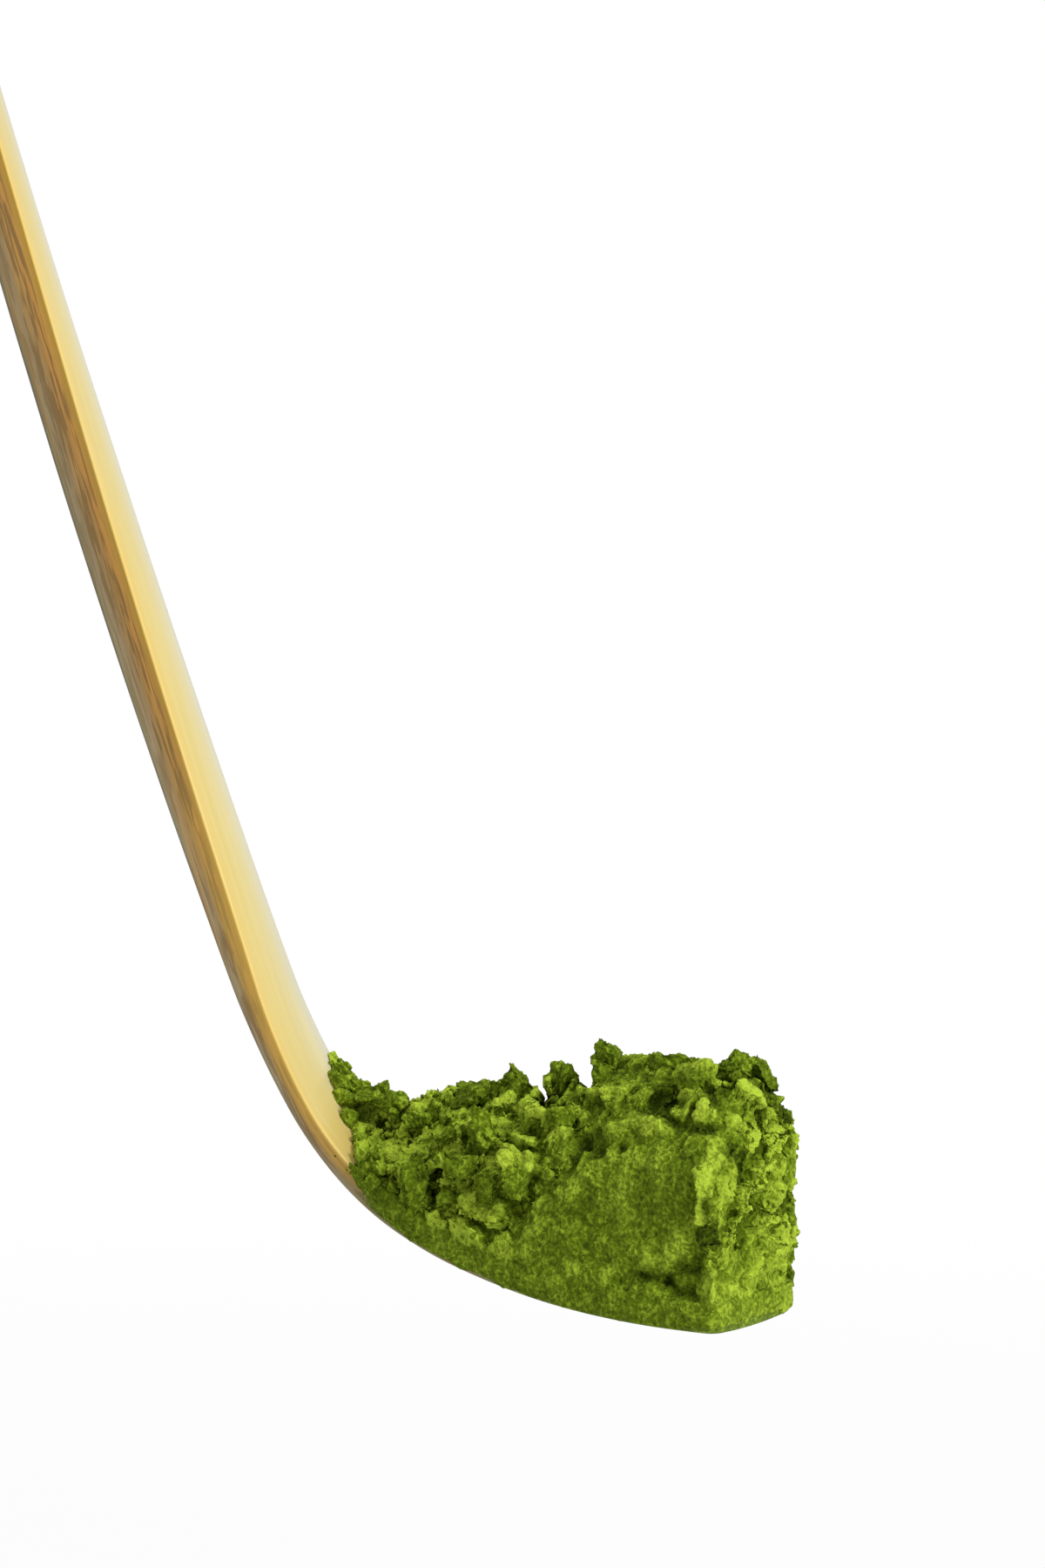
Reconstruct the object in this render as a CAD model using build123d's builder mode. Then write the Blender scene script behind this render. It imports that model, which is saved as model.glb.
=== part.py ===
from build123d import *
from math import cos, radians, sin
import os

os.makedirs("parts", exist_ok=True)

# A tea scoop cut from one strip of bamboo, held as in use: the bowl lies level at the low end, its tip
# towards +X, and the handle rises towards -X and +Z. The origin is at the hand grip, in the middle of the
# handle. All sizes are millimetres, all turns and twists are degrees.

# Legs of the strip, along the middle of its front (skin) face, from the cut end down to the tip
grip_to_end = 46.0
grip_to_stem = 25.0
stem_length = 66.0
neck_length = 9.0
bend_length = 11.0
heel_length = 6.0
bowl_length = 18.4

# How far each curved leg turns; the tip itself rises by the tilt
stem_turn = 3.0
neck_turn = 13.2
bend_turn = 32.1
heel_turn = 7.9
bowl_turn = 13.2
tip_tilt = 0.3

# Cross-section of the strip
bowl_width = 10.0
handle_width = 4.0
tip_thickness = 1.35
handle_thickness = 3.1
front_bevel = 0.16
back_bevel = 0.3
back_belly = 0.08
tip_corner_radius = 0.8
end_chamfer = 0.35

# Node of the bamboo stem, a ring across the handle above the stretch that carries the bowl
node_above_stem = 7.0
node_length = 3.2
node_rise = 0.3

# Load of powder
heap_height = 14.8
heap_length = 33.0
heap_inset = 0.12
seat_gap = 0.1
clod_size = 3.5
hollow_size = 3.4

overrun = 2.0

# Sections of the strip: leg, share of that leg, width from handle (0) to bowl (1), thickness from tip (0)
# to handle (1), depth of the dish as a share of the width (below zero it is a crown), twist
strip_shares = [
    ("handle", 0.00, -0.02, 1.00, -0.03, -22.0),
    ("handle", 0.33, 0.01, 1.00, -0.03, -22.0),
    ("handle", 0.66, 0.02, 1.00, -0.03, -22.0),
    ("handle", 0.96, 0.01, 0.99, -0.03, -21.7),
    ("stem", 0.20, 0.00, 0.95, -0.03, -18.0),
    ("stem", 0.45, 0.03, 0.91, -0.03, -12.6),
    ("stem", 0.76, 0.08, 0.73, -0.03, -7.4),
    ("stem", 1.00, 0.15, 0.38, -0.02, -3.6),
    ("neck", 0.50, 0.20, 0.23, -0.01, -1.8),
    ("bend", 0.00, 0.26, 0.14, 0.01, -0.5),
    ("bend", 0.33, 0.33, 0.10, 0.02, 0.0),
    ("bend", 0.67, 0.42, 0.13, 0.03, 0.0),
    ("bend", 1.00, 0.54, 0.18, 0.04, 0.0),
    ("heel", 0.50, 0.66, 0.20, 0.045, 0.0),
    ("bowl", 0.00, 0.77, 0.20, 0.045, 0.0),
    ("bowl", 0.33, 0.95, 0.18, 0.045, 0.0),
    ("bowl", 0.67, 1.00, 0.10, 0.036, 0.0),
    ("bowl", 0.90, 1.00, 0.03, 0.018, 0.0),
    ("bowl", 1.00, 1.00, 0.00, 0.005, 0.0),
]

# Sections of the heap, on the last of the strip's sections: near foot, near shoulder (across, up), crest
# (across, up) and far shoulder (across, up). Across is a share of the half width, up of the heap's height.
heap_shares = [
    (0.35, 0.40, 0.03, 0.70, 0.11, 0.95, 0.08),
    (-0.15, -0.10, 0.07, 0.45, 0.26, 0.95, 0.21),
    (-0.88, -0.85, 0.14, 0.25, 0.40, 0.95, 0.34),
    (-1.00, -0.93, 0.27, 0.15, 0.54, 0.93, 0.44),
    (-1.00, -0.90, 0.35, 0.10, 0.63, 0.93, 0.52),
    (-1.00, -0.88, 0.41, 0.10, 0.73, 0.93, 0.60),
    (-1.00, -0.86, 0.52, 0.10, 0.87, 0.92, 0.75),
    (-1.00, -0.85, 0.59, 0.10, 0.94, 0.92, 0.81),
    (-1.00, -0.88, 0.60, 0.15, 0.92, 0.93, 0.80),
    (-1.00, -0.93, 0.55, 0.20, 0.82, 0.95, 0.70),
]

# Clods on the heap, each from the tip: back as a share of the heap's length, across as a share of the half
# bowl width, up as a share of the heap's height, size as a share of the clod size
clod_shares = [
    (0.97, 0.46, 0.79, 0.62),
    (0.90, 0.30, 0.74, 0.65),
    (0.82, -0.52, 0.46, 0.75),
    (0.80, 0.05, 0.66, 0.75),
    (0.75, 0.45, 0.72, 0.70),
    (0.71, -0.74, 0.38, 0.95),
    (0.69, -0.20, 0.62, 0.85),
    (0.62, 0.35, 0.76, 0.90),
    (0.60, -0.78, 0.42, 0.70),
    (0.57, -0.42, 0.62, 0.85),
    (0.53, 0.10, 0.82, 0.90),
    (0.48, -0.84, 0.48, 0.75),
    (0.45, -0.52, 0.70, 0.85),
    (0.40, 0.20, 0.86, 0.80),
    (0.36, -0.10, 0.92, 0.80),
    (0.34, 0.15, 0.95, 0.75),
    (0.33, -0.66, 0.72, 0.85),
    (0.28, 0.55, 0.88, 0.85),
    (0.22, -0.22, 0.94, 0.95),
    (0.17, -0.70, 0.74, 0.80),
    (0.14, 0.20, 0.95, 0.80),
    (0.08, 0.60, 0.91, 1.00),
    (0.03, 0.88, 0.78, 0.75),
    (0.05, -0.10, 0.88, 0.85),
]

# Hollows that crumbled clods have left in the heap, in the same shares, size as a share of the hollow size
hollow_shares = [
    (0.16, -0.34, 0.88, 0.85),
    (0.31, -0.92, 0.60, 1.00),
    (0.49, 0.20, 0.84, 0.75),
    (0.59, -0.62, 0.62, 0.70),
    (0.65, -0.85, 0.42, 0.65),
    (0.73, 0.60, 0.62, 0.85),
    (0.84, 0.10, 0.64, 0.60),
    (0.42, 0.98, 0.62, 1.00),
    (0.12, 1.00, 0.50, 1.00),
    (0.04, 0.15, 0.90, 0.65),
]
clod_depth_share = 0.85
clod_rise_share = 0.75
clod_chamfer_share = 0.22
clod_turns = (37.0, 61.0, 23.0)
sliver_share = 0.25

# Rise of the bamboo's node along its length, as shares of its length and of its rise
node_shares = [(-0.50, -0.35), (-0.18, 1.00), (-0.02, 0.85), (0.12, -0.10), (0.28, 0.55), (0.50, -0.35)]

# The front face seen from the side: X of this drawing is X of the part, and Y of the drawing is its height
handle_slope = tip_tilt + bowl_turn + heel_turn + bend_turn + neck_turn + stem_turn
handle_way = Vector(-cos(radians(handle_slope)), sin(radians(handle_slope)))
front_way = Vector(sin(radians(handle_slope)), cos(radians(handle_slope)))
grip_front = front_way * (handle_thickness / 2)


def curved_leg(last, length, turn):
    # An arc that carries on from the last leg without a kink
    return JernArc(last @ 1, last % 1, radius=length / radians(turn), arc_size=turn)


with BuildLine() as side_view:
    handle = Line(grip_front + handle_way * grip_to_end, grip_front - handle_way * grip_to_stem)
    stem = curved_leg(handle, stem_length, stem_turn)
    neck = curved_leg(stem, neck_length, neck_turn)
    bend = curved_leg(neck, bend_length, bend_turn)
    heel = curved_leg(bend, heel_length, heel_turn)
    bowl = curved_leg(heel, bowl_length, bowl_turn)

legs = {"handle": handle, "stem": stem, "neck": neck, "bend": bend, "heel": heel, "bowl": bowl}
tip = Vector((bowl @ 1).X, 0, (bowl @ 1).Y)


def cross_plane(leg, share, twist):
    # The plane square to the strip: X runs across the front face and Y out of it
    place, way = legs[leg] @ share, legs[leg] % share
    out = Vector(-way.Y, 0, way.X)
    across = Vector(0, cos(radians(twist)), 0) + out * sin(radians(twist))
    return Plane(origin=(place.X, 0, place.Y), x_dir=across, z_dir=(way.X, 0, way.Y))


def strip_width(width_share):
    return handle_width + (bowl_width - handle_width) * width_share


def strip_thickness(thickness_share):
    return tip_thickness + (handle_thickness - tip_thickness) * thickness_share


def strip_section(plane, width, thickness, dish, grow=0):
    # Bevelled front edges, straight sides, and a back that is a little rounder than the front
    half = width / 2 + grow
    low = -thickness - grow
    with BuildSketch(plane) as section:
        with BuildLine():
            front = ThreePointArc(
                (-half + front_bevel, grow), (0, grow - dish), (half - front_bevel, grow)
            )
            far = Polyline(
                front @ 1, (half, grow - front_bevel), (half, low + back_bevel), (half - back_bevel, low)
            )
            back = ThreePointArc(
                far @ 1, (0, low - back_belly - max(dish, 0)), (-half + back_bevel, low)
            )
            Polyline(back @ 1, (-half, low + back_bevel), (-half, grow - front_bevel), front @ 0)
        make_face()
    return section.sketch


def strip_sections(rows, grow=0):
    return [
        strip_section(
            cross_plane(leg, share, twist),
            strip_width(width_share),
            strip_thickness(thickness_share),
            strip_width(width_share) * dish_share,
            grow,
        )
        for leg, share, width_share, thickness_share, dish_share, twist in rows
    ]


def end_section(plane, grow):
    # The handle's section at its upper end and at the node
    width = strip_width(strip_shares[0][2])
    return strip_section(plane, width, handle_thickness, width * strip_shares[0][4], grow)


def heap_section(strip_row, heap_row):
    # A slice of the heap: its foot lies inside the strip, to be cut to the dish later
    leg, share, width_share, thickness_share, dish_share, twist = strip_row
    foot, near_across, near_up, crest_across, crest_up, far_across, far_up = heap_row
    half = strip_width(width_share) / 2 - heap_inset
    low = -strip_thickness(thickness_share) / 2 - strip_width(width_share) * dish_share
    with BuildSketch(cross_plane(leg, share, twist)) as section:
        with BuildLine():
            top = ThreePointArc(
                (near_across * half, near_up * heap_height),
                (crest_across * half, crest_up * heap_height),
                (far_across * half, far_up * heap_height),
            )
            Polyline(top @ 1, (half, low), (foot * half, low), top @ 0)
        make_face()
    return section.sketch


def clod(size, count, place_shares):
    # A crumbled lump, or the hollow of one: a block stood at an odd angle, with all its edges broken
    back, across, up = place_shares
    place = tip + Vector(-back * heap_length, across * bowl_width / 2, up * heap_height)
    with BuildPart(Plane(origin=place).rotated([turn * count for turn in clod_turns])) as lump:
        Box(size, size * clod_depth_share, size * clod_rise_share)
        chamfer(lump.edges(), length=size * clod_chamfer_share)
    return lump.part


node_share = (grip_to_end + grip_to_stem - node_above_stem) / (grip_to_end + grip_to_stem)
node_plane = cross_plane("handle", node_share, strip_shares[0][-1])
end_plane = cross_plane("handle", 0, strip_shares[0][-1])
tip_plan = Plane(origin=tip, x_dir=cross_plane("bowl", 1, 0).z_dir, z_dir=cross_plane("bowl", 1, 0).y_dir)
corner_middle = (overrun - tip_corner_radius) / 2

# The room that the bowl and the bend take up, with the seat gap all round
with BuildPart() as seat:
    loft(strip_sections(strip_shares[-len(heap_shares) - 3:], seat_gap))
seat_room = seat.part


# The strip of bamboo, with the broken edge of its cut end, its node and the rounded corners of its tip
with BuildPart() as scoop:
    loft(strip_sections(strip_shares))
    loft([end_section(end_plane, 0), end_section(end_plane.offset(-end_chamfer), -end_chamfer)], ruled=True)
    rings = [
        end_section(node_plane.offset(node_length * place), node_rise * rise) for place, rise in node_shares
    ]
    loft(rings, ruled=True)
    with BuildSketch(tip_plan) as corners:
        for side in (-1, 1):
            with Locations((corner_middle, side * (bowl_width / 2 + corner_middle))):
                Rectangle(tip_corner_radius + overrun, tip_corner_radius + overrun)
            with Locations((-tip_corner_radius, side * (bowl_width / 2 - tip_corner_radius))):
                Circle(tip_corner_radius, mode=Mode.SUBTRACT)
    extrude(amount=handle_thickness, both=True, mode=Mode.SUBTRACT)

scoop.part.label = "scoop"
export_step(scoop.part, "parts/scoop.step")

# The packed heap: its foot follows the dish of the bowl at the seat gap, its end stands flush with the tip
rows = strip_shares[-len(heap_shares):]
with BuildPart() as packed:
    loft([heap_section(strip_row, heap_row) for strip_row, heap_row in zip(rows, heap_shares)], ruled=True)

with BuildPart() as powder_heap:
    add(packed.part)
    hollows = [clod(hollow_size * size, count, place) for count, (*place, size) in enumerate(hollow_shares)]
    add(hollows, mode=Mode.SUBTRACT)
    add(seat_room, mode=Mode.SUBTRACT)

powder_heap.part.label = "powder_heap"
export_step(powder_heap.part, "parts/powder_heap.step")

# Loose clods, each cut to sit face to face on the heap
with BuildPart() as powder_clods:
    add([clod(clod_size * size, count, place) for count, (*place, size) in enumerate(clod_shares)])
    add(packed.part, mode=Mode.SUBTRACT)
    add(seat_room, mode=Mode.SUBTRACT)
    slivers = [lump for lump in powder_clods.solids() if lump.volume < (clod_size * sliver_share) ** 3]
    add(slivers, mode=Mode.SUBTRACT)

powder_clods.part.label = "powder_clods"
export_step(powder_clods.part, "parts/powder_clods.step")
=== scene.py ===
from math import cos, pi, radians, sin
import bpy
import numpy as np
from mathutils import Matrix, Vector


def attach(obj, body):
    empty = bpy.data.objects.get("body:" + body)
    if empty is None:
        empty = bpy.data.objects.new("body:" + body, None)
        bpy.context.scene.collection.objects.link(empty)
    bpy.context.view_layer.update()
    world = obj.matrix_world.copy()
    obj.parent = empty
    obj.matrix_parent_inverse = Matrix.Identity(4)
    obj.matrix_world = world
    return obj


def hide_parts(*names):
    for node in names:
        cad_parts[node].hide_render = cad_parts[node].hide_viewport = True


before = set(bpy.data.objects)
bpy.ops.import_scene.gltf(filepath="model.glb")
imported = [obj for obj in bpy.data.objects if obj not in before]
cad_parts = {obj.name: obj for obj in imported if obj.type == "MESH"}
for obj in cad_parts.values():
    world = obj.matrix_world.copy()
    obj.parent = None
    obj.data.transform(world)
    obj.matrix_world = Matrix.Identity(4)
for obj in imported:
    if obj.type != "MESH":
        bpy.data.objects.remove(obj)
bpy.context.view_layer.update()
mm = 0.001


# Number helpers, all on whole arrays

def smoothStep(low, high, x):
    # rises from 0 to 1 between low and high with no corners: 3t^2 - 2t^3
    t = np.clip((x - low) / (high - low), 0, 1)
    return t * t * (3 - 2 * t)


def knotCurve(x, knots):
    # cubic through the knots: each knot's slope is that of the line between its two neighbours
    knots = np.asarray(knots, float)
    at, value = knots[:, 0], knots[:, 1:]
    slope = np.gradient(value, at, axis=0)
    x = np.clip(x, at[0], at[-1])
    k = np.clip(np.searchsorted(at, x, side="right") - 1, 0, len(at) - 2)
    width = at[k + 1] - at[k]
    t = ((x - at[k]) / width)[..., None]
    width = width[..., None]
    return (value[k] * (2 * t**3 - 3 * t**2 + 1) + slope[k] * width * (t**3 - 2 * t**2 + t)
            + value[k + 1] * (3 * t**2 - 2 * t**3) + slope[k + 1] * width * (t**3 - t**2))


def latticeRandom(cell, seed):
    # one repeatable random number from 0 to 1 for each lattice point: its whole numbers are multiplied by
    # large odd ones and mixed bit by bit, folded over and multiplied again, and the top bits are the result
    c = cell.astype(np.int64).astype(np.uint64)
    x, y, z = (c[..., k] * np.uint64(factor) for k, factor in enumerate((73856093, 19349663, 83492791)))
    h = ((x ^ y ^ z) + np.uint64(seed * 7919 + 17)) * np.uint64(0x9E3779B97F4A7C15)
    for fold, factor in ((29, 0xBF58476D1CE4E5B9), (32, 0x94D049BB133111EB)):
        h = (h ^ (h >> np.uint64(fold))) * np.uint64(factor)
    return (h >> np.uint64(40)).astype(float) / 2.0**24


def softNoise(p, size, seed):
    # value noise from -1 to 1: the random numbers of a cell's eight corners, blended along each axis by
    # 3t^2 - 2t^3
    q = p / size
    cell = np.floor(q)
    t = q - cell
    t = t * t * (3 - 2 * t)
    total = np.zeros(q.shape[:-1])
    for corner in np.ndindex(2, 2, 2):
        weight = np.prod(np.where(np.array(corner), t, 1 - t), axis=-1)
        total += weight * latticeRandom(cell + np.array(corner), seed)
    return 2 * total - 1


def roughNoise(p, size, seed, octaves=3):
    # a sum of soft noises, each with cells half as large and half as strong as the one before
    total, strength = 0, 1.0
    for octave in range(octaves):
        total = total + strength * softNoise(p, size / 2**octave, seed + octave)
        strength /= 2
    return total


def offsetNoise(p, size, seed, seedStep=1, noise=softNoise):
    # three noises as the three parts of a push
    return np.stack([noise(p, size, seed + seedStep * k) for k in range(3)], -1)


def clodNoise(p, size, seed):
    # cell noise, with one random middle in each cell of a lattice: how much nearer the nearest middle is than
    # the second nearest, the way from the nearest, its own number and its own tilt
    q = p / size
    cell = np.floor(q)
    first = np.full(q.shape[:-1], np.inf)
    second = first.copy()
    mark = np.zeros(q.shape[:-1])
    way = np.zeros(q.shape)
    tilt = np.zeros(q.shape)
    for step in np.ndindex(3, 3, 3):
        near = cell + np.array(step) - 1
        away = q - near - np.stack([latticeRandom(near, seed + k) for k in range(3)], -1)
        distance = np.linalg.norm(away, axis=-1)
        closer = distance < first
        second = np.where(closer, first, np.minimum(second, distance))
        mark = np.where(closer, latticeRandom(near, seed + 5), mark)
        lean = 2 * np.stack([latticeRandom(near, seed + 7 + k) for k in range(3)], -1) - 1
        way = np.where(closer[..., None], away, way)
        tilt = np.where(closer[..., None], lean, tilt)
        first = np.minimum(first, distance)
    return second - first, way * size, mark, tilt


# Mesh helpers

def gridNormals(points):
    # outward normals of a closed-round grid: cross product of its rows' and its columns' directions
    along = np.gradient(points, axis=-3)
    around = (np.roll(points, -1, -2) - np.roll(points, 1, -2)) / 2
    normal = np.cross(along, around)
    return normal / np.maximum(np.linalg.norm(normal, axis=-1, keepdims=True), 1e-12)


def blurGrid(value, reach):
    # mean over a square of grid points, closed round the columns: differences of a running total, along the
    # columns and then, with the grid turned over, along the rows
    wide = 2 * reach + 1
    for border in ("edge", "wrap"):
        total = np.cumsum(np.pad(value, ((reach + 1, reach), (0, 0)), border), 0)
        value = (total[wide:] - total[:-wide]).T / wide
    return value


def gridFaces(rows, columns):
    # quads of a grid that is closed round its columns and open at its first and last rows
    i, j = np.meshgrid(np.arange(rows - 1), np.arange(columns), indexing="ij")
    k = (j + 1) % columns
    quads = np.stack([i * columns + j, (i + 1) * columns + j, (i + 1) * columns + k, i * columns + k], -1)
    return quads.reshape(-1, 4)


def makeMesh(name, points, faces, material, body, attributes):
    # puts whole arrays of points (millimetres) and faces (quads, or triangles with a repeated corner) in a
    # mesh, with one value or one vector for each point as an attribute
    mesh = bpy.data.meshes.new(name)
    triangle = faces[:, 3] == faces[:, 2]
    count = np.where(triangle, 3, 4)
    keep = np.ones(faces.shape, bool)
    keep[triangle, 3] = False
    loops = faces[keep]
    mesh.vertices.add(len(points))
    mesh.vertices.foreach_set("co", (points * mm).astype(np.float32).ravel())
    mesh.loops.add(len(loops))
    mesh.loops.foreach_set("vertex_index", loops.astype(np.int32))
    mesh.polygons.add(len(faces))
    mesh.polygons.foreach_set("loop_start", (np.cumsum(count) - count).astype(np.int32))
    mesh.polygons.foreach_set("use_smooth", np.ones(len(faces), bool))
    for key, value in attributes.items():
        kind, field = ("FLOAT_VECTOR", "vector") if value.ndim == 2 else ("FLOAT", "value")
        layer = mesh.attributes.new(key, kind, "POINT")
        layer.data.foreach_set(field, value.astype(np.float32).ravel())
    mesh.update(calc_edges=True)
    mesh.validate()
    mesh.materials.append(material)
    piece = bpy.data.objects.new(name, mesh)
    bpy.context.scene.collection.objects.link(piece)
    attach(piece, body)
    print(name, len(mesh.vertices), "points", len(mesh.polygons), "faces")
    return piece


def closedGrid(points):
    # the points and faces of a grid closed round its columns, with one more point in the middle of each end,
    # the mean of that end's row, and a fan of triangles round it
    rows, columns = points.shape[:2]
    flat = points.reshape(-1, 3)
    ends = np.stack([points[0].mean(0), points[-1].mean(0)])
    ring = np.arange(columns)
    after = (ring + 1) % columns
    first, last = rows * columns, rows * columns + 1
    low = np.stack([np.full(columns, first), ring, after, after], -1)
    lastRow = (rows - 1) * columns
    high = np.stack([np.full(columns, last), lastRow + after, lastRow + ring, lastRow + ring], -1)
    return np.concatenate([flat, ends]), np.concatenate([gridFaces(rows, columns), low, high])


def withEnds(value):
    # a grid of values as a list, with the mean of the first and last rows for the two end points
    flat = value.reshape((-1,) + value.shape[2:])
    return np.concatenate([flat, value[0].mean(0)[None], value[-1].mean(0)[None]])


# Material helpers

def srgb(r, g, b):
    # screen colour from 0 to 255 to the linear colour that shaders use
    c = np.array([r, g, b]) / 255
    return (*np.where(c <= 0.04045, c / 12.92, ((c + 0.055) / 1.055) ** 2.4), 1.0)


def newNode(tree, kind, **settings):
    # the editor shows the nodes in columns of six, in the order in which they are made
    node = tree.nodes.new(kind)
    column, row = divmod(len(tree.nodes) - 1, 6)
    node.location = (column * 200, row * -300)
    for key, value in settings.items():
        setattr(node, key, value)
    return node


def feed(tree, node, values):
    # gives each named or numbered input a plain value, or links another node's output to it
    for key, value in values.items():
        socket = node.inputs[key]
        if isinstance(value, (int, float, tuple)):
            socket.default_value = value
        else:
            tree.links.new(value, socket)
    return node


def mathNode(tree, operation, a, b=0.0, c=0.0, clamp=False):
    node = newNode(tree, "ShaderNodeMath", operation=operation, use_clamp=clamp)
    return feed(tree, node, {0: a, 1: b, 2: c}).outputs[0]


def mixColour(tree, factor, a, b):
    # a mix node holds inputs for numbers, vectors and colours; 0, 6 and 7 are those of a colour mix
    node = newNode(tree, "ShaderNodeMix", data_type="RGBA", clamp_factor=True)
    return feed(tree, node, {0: factor, 6: a, 7: b}).outputs[2]


def noiseNode(tree, vector, scale, detail=3.0, roughness=0.5):
    values = {"Vector": vector, "Scale": scale, "Detail": detail, "Roughness": roughness}
    return feed(tree, newNode(tree, "ShaderNodeTexNoise"), values).outputs["Fac"]


def rampNode(tree, factor, stops):
    # stops: place, then the screen colour
    node = newNode(tree, "ShaderNodeValToRGB")
    ramp = node.color_ramp
    while len(ramp.elements) < len(stops):
        ramp.elements.new(0.5)
    for element, (place, *colour) in zip(ramp.elements, stops):
        element.position = place
        element.color = srgb(*colour)
    return feed(tree, node, {"Fac": factor}).outputs["Color"]


def mapRange(tree, value, low, high, toLow=0.0, toHigh=1.0, smooth=True):
    node = newNode(tree, "ShaderNodeMapRange", interpolation_type="SMOOTHSTEP" if smooth else "LINEAR")
    values = {"Value": value, "From Min": low, "From Max": high, "To Min": toLow, "To Max": toHigh}
    return feed(tree, node, values).outputs["Result"]


def bumpNode(tree, height, strength, depth):
    values = {"Height": height, "Strength": strength, "Distance": depth}
    return feed(tree, newNode(tree, "ShaderNodeBump"), values).outputs["Normal"]


def newMaterial(name):
    material = bpy.data.materials.new(name)
    material.use_nodes = True
    tree = material.node_tree
    tree.nodes.clear()
    shader = newNode(tree, "ShaderNodeBsdfPrincipled")
    output = newNode(tree, "ShaderNodeOutputMaterial")
    tree.links.new(shader.outputs["BSDF"], output.inputs["Surface"])
    return material, tree, shader


def groupTree(name, inputs, outputs):
    # an empty node group with named sockets: (name, kind, default)
    tree = bpy.data.node_groups.new(name, "ShaderNodeTree")
    for key, kind, default in inputs:
        socket = tree.interface.new_socket(key, in_out="INPUT", socket_type="NodeSocket" + kind)
        if default is not None:
            socket.default_value = default
    for key, kind in outputs:
        tree.interface.new_socket(key, in_out="OUTPUT", socket_type="NodeSocket" + kind)
    return tree, newNode(tree, "NodeGroupInput"), newNode(tree, "NodeGroupOutput")


def placeGroup(tree, group, **values):
    return feed(tree, newNode(tree, "ShaderNodeGroup", node_tree=group), values)


# The matcha powder, shared by the heap, its clods and the dust on the bamboo

matchaLook = {
    "dark": srgb(47, 62, 1),
    "middle": srgb(99, 121, 16),
    "bright": srgb(170, 195, 56),
    "darkToMiddle": (0.10, 0.48),  # tones between which the colour changes
    "middleToBright": (0.48, 0.88),
    # the relief tone is painted light on what stands out and painted shade in hollows
    "shadeToneShare": 0.80,  # how much of the tone the relief gives
    "toneShift": -0.72,
    "bendScale": 1500.0,  # noise that bends the finest ones into short fibres, and how far
    "bendLength": 0.45 * mm,
    # noises: scale, detail, whether bent, share in the tone, share in the height
    # a noise with shares in both tone and height darkens the bump's low spots: painted shade, over random
    # tone
    "noises": {
        "patch": (420.0, 2.0, False, 0.45, 0.0),
        "lump": (1900.0, 1.0, False, 0.45, 0.8),
        "grain": (7500.0, 0.0, False, 0.12, 0.15),
        "fibre": (4200.0, 0.0, True, 0.52, 1.0),
        "strand": (3900.0, 0.0, True, 0.10, 0.24),
    },
    "strandFall": -7.0,  # how fast a strand fades away from its middle
    "bumpStrength": 0.9,
    "bumpDepth": 0.17 * mm,
    "roughness": 0.95,
    "specular": 0.12,
}


def matchaGroup():
    # the tone is the sum of the relief tone, painted light and painted shade, and the noises by their shares;
    # it runs from dark over middle to bright
    look = matchaLook
    tree, given, result = groupTree(
        "matchaPowder",
        [("Vector", "Vector", None), ("Relief", "Float", 0.5), ("Dark", "Color", look["dark"]),
         ("Middle", "Color", look["middle"]), ("Bright", "Color", look["bright"])],
        [("Color", "Color"), ("Height", "Float")])
    vector = given.outputs["Vector"]
    push = newNode(tree, "ShaderNodeTexNoise")
    feed(tree, push, {"Vector": vector, "Scale": look["bendScale"], "Detail": 1.0})
    shift = newNode(tree, "ShaderNodeVectorMath", operation="MULTIPLY_ADD")
    feed(tree, shift, {0: push.outputs["Color"], 1: (look["bendLength"],) * 3, 2: vector})
    relief = given.outputs["Relief"]
    tone = mathNode(tree, "MULTIPLY_ADD", relief, look["shadeToneShare"], look["toneShift"])
    height = 0.0
    for key, (scale, detail, bent, toneShare, heightShare) in look["noises"].items():
        value = noiseNode(tree, shift.outputs["Vector"] if bent else vector, scale, detail)
        if key == "strand":
            # thin curly strands run where this noise passes through its middle value
            offMiddle = mathNode(tree, "SUBTRACT", value, 0.5)
            offMiddle = mathNode(tree, "ABSOLUTE", offMiddle)
            value = mathNode(tree, "MULTIPLY_ADD", offMiddle, look["strandFall"], 1.0, clamp=True)
        tone = mathNode(tree, "MULTIPLY_ADD", value, toneShare, tone)
        height = mathNode(tree, "MULTIPLY_ADD", value, heightShare, height)
    low = mapRange(tree, tone, *look["darkToMiddle"], smooth=False)
    low = mixColour(tree, low, given.outputs["Dark"], given.outputs["Middle"])
    high = mapRange(tree, tone, *look["middleToBright"], smooth=False)
    high = mixColour(tree, high, low, given.outputs["Bright"])
    feed(tree, result, {"Color": high, "Height": height})
    return tree


matcha = matchaGroup()
print("matcha group made")


def powderMaterial():
    material, tree, shader = newMaterial("matchaHeap")
    place = newNode(tree, "ShaderNodeTexCoord").outputs["Object"]
    # the relief attribute is a tone of painted light on what stands out and painted shade in hollows
    relief = newNode(tree, "ShaderNodeAttribute", attribute_name="relief").outputs["Fac"]
    group = placeGroup(tree, matcha, Vector=place, Relief=relief)
    look = matchaLook
    bump = bumpNode(tree, group.outputs["Height"], look["bumpStrength"], look["bumpDepth"])
    feed(tree, shader, {"Base Color": group.outputs["Color"], "Normal": bump, "Roughness": look["roughness"],
                        "Specular IOR Level": look["specular"]})
    return material


# The strip of bamboo

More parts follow.
